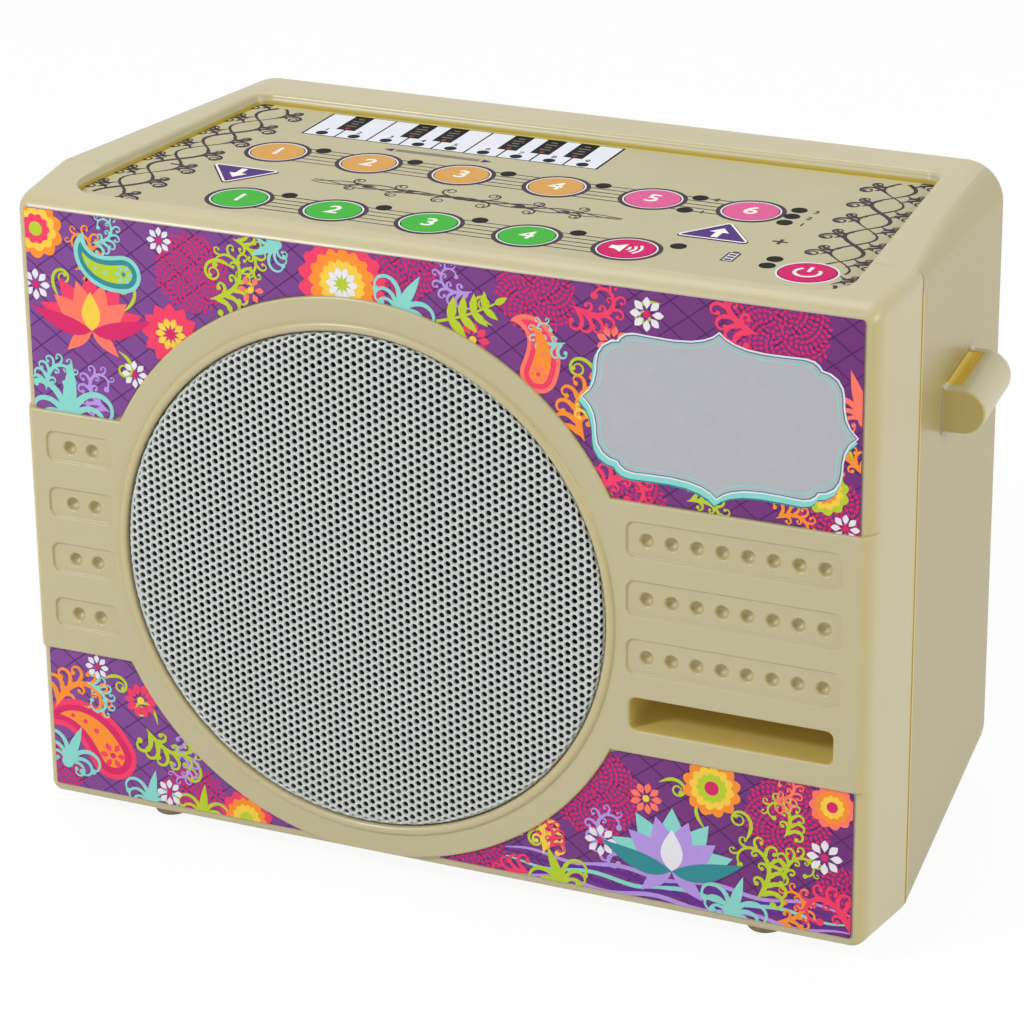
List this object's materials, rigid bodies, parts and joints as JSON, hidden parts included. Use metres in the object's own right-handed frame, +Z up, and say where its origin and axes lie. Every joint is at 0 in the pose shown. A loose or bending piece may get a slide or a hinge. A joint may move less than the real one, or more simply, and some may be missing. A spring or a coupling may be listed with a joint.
{
  "type": "electronic tanpura",
  "caption": "Table-top electronic drone instrument: moulded two-part case, round front speaker grille, sprung top keypad, side strap loops and a rear battery door.",
  "frame": {"origin": "centre of the bounding box's base, on the plane the four feet stand on", "axes": "+X to the object's right seen from the front, +Y from the speaker face to the back, +Z up"},
  "size_m": [0.288, 0.14, 0.199],
  "materials": {
    "ivory_shell": "fine satin moulded ivory plastic",
    "grille_sheet": "light grey powder coat",
    "label_print": "printed purple label",
    "overlay_print": "printed polyester sheet",
    "key_orange": "printed key",
    "key_pink": "printed key",
    "key_green": "printed key",
    "key_magenta": "printed key",
    "key_purple": "printed key",
    "foot_rubber": "soft cream rubber",
    "speaker_steel": "black painted steel",
    "cone_paper": "black paper",
    "seat_gasket": "black rubber",
    "ferrite": "dull ferrite and steel",
    "screw_steel": "zinc-plated steel",
    "circuit_board": "green solder mask",
    "spacer_sheet": "grey sheet",
    "jack_plastic": "black moulding",
    "lead_grey": "grey cable",
    "battery_sleeve": "green shrink sleeve"
  },
  "bodies": {
    "case": {"front_shell": "ivory_shell", "rear_shell": "ivory_shell", "strap_loop_left": "ivory_shell", "strap_loop_right": "ivory_shell", "speaker_grille": "grille_sheet", "label_upper": "label_print", "label_lower_left": "label_print", "label_lower_right": "label_print", "keypad_overlay": "overlay_print", "foot_front_left": "foot_rubber", "foot_front_right": "foot_rubber", "foot_rear_left": "foot_rubber", "foot_rear_right": "foot_rubber", "speaker_frame": "speaker_steel", "speaker_cone": "cone_paper", "speaker_gasket": "seat_gasket", "speaker_magnet": "ferrite", "speaker_screw_1": "screw_steel", "speaker_screw_2": "screw_steel", "speaker_screw_3": "screw_steel", "speaker_screw_4": "screw_steel", "case_screw_1": "screw_steel", "case_screw_2": "screw_steel", "case_screw_3": "screw_steel", "case_screw_4": "screw_steel", "board_screw_1": "screw_steel", "board_screw_2": "screw_steel", "board_screw_3": "screw_steel", "board_screw_4": "screw_steel", "main_board": "circuit_board", "keypad_board": "circuit_board", "keypad_spacer": "spacer_sheet", "dc_jack": "jack_plastic", "line_jack": "jack_plastic", "keypad_ribbon": "lead_grey", "speaker_lead": "lead_grey", "battery_lead": "lead_grey", "battery_pack": "battery_sleeve"},
    "rear_key_1": {"rear_key_1": "key_orange"},
    "rear_key_2": {"rear_key_2": "key_orange"},
    "rear_key_3": {"rear_key_3": "key_orange"},
    "rear_key_4": {"rear_key_4": "key_orange"},
    "rear_key_5": {"rear_key_5": "key_pink"},
    "rear_key_6": {"rear_key_6": "key_pink"},
    "front_key_1": {"front_key_1": "key_green"},
    "front_key_2": {"front_key_2": "key_green"},
    "front_key_3": {"front_key_3": "key_green"},
    "front_key_4": {"front_key_4": "key_green"},
    "front_key_5": {"front_key_5": "key_magenta"},
    "power_key": {"power_key": "key_magenta"},
    "up_key": {"up_key": "key_purple"},
    "down_key": {"down_key": "key_purple"},
    "battery_door": {"battery_door": "ivory_shell"}
  },
  "joints": [
    {"name": "rear_key_1_press", "type": "slide", "parent": "case", "child": "rear_key_1", "axis": [0, 0, -1], "range_m": [0, 0.0004], "stiffness_N_per_m": 500},
    {"name": "rear_key_2_press", "type": "slide", "parent": "case", "child": "rear_key_2", "axis": [0, 0, -1], "range_m": [0, 0.0004], "stiffness_N_per_m": 500},
    {"name": "rear_key_3_press", "type": "slide", "parent": "case", "child": "rear_key_3", "axis": [0, 0, -1], "range_m": [0, 0.0004], "stiffness_N_per_m": 500},
    {"name": "rear_key_4_press", "type": "slide", "parent": "case", "child": "rear_key_4", "axis": [0, 0, -1], "range_m": [0, 0.0004], "stiffness_N_per_m": 500},
    {"name": "rear_key_5_press", "type": "slide", "parent": "case", "child": "rear_key_5", "axis": [0, 0, -1], "range_m": [0, 0.0004], "stiffness_N_per_m": 500},
    {"name": "rear_key_6_press", "type": "slide", "parent": "case", "child": "rear_key_6", "axis": [0, 0, -1], "range_m": [0, 0.0004], "stiffness_N_per_m": 500},
    {"name": "front_key_1_press", "type": "slide", "parent": "case", "child": "front_key_1", "axis": [0, 0, -1], "range_m": [0, 0.0004], "stiffness_N_per_m": 500},
    {"name": "front_key_2_press", "type": "slide", "parent": "case", "child": "front_key_2", "axis": [0, 0, -1], "range_m": [0, 0.0004], "stiffness_N_per_m": 500},
    {"name": "front_key_3_press", "type": "slide", "parent": "case", "child": "front_key_3", "axis": [0, 0, -1], "range_m": [0, 0.0004], "stiffness_N_per_m": 500},
    {"name": "front_key_4_press", "type": "slide", "parent": "case", "child": "front_key_4", "axis": [0, 0, -1], "range_m": [0, 0.0004], "stiffness_N_per_m": 500},
    {"name": "front_key_5_press", "type": "slide", "parent": "case", "child": "front_key_5", "axis": [0, 0, -1], "range_m": [0, 0.0004], "stiffness_N_per_m": 500},
    {"name": "power_key_press", "type": "slide", "parent": "case", "child": "power_key", "axis": [0, 0, -1], "range_m": [0, 0.0004], "stiffness_N_per_m": 500},
    {"name": "up_key_press", "type": "slide", "parent": "case", "child": "up_key", "axis": [0, 0, -1], "range_m": [0, 0.0004], "stiffness_N_per_m": 500},
    {"name": "down_key_press", "type": "slide", "parent": "case", "child": "down_key", "axis": [0, 0, -1], "range_m": [0, 0.0004], "stiffness_N_per_m": 500},
    {"name": "battery_door_hinge", "type": "hinge", "parent": "case", "child": "battery_door", "pos_m": [0, 0.07, 0.0237], "axis": [-1, 0, 0], "range_deg": [0, 80]}
  ]
}
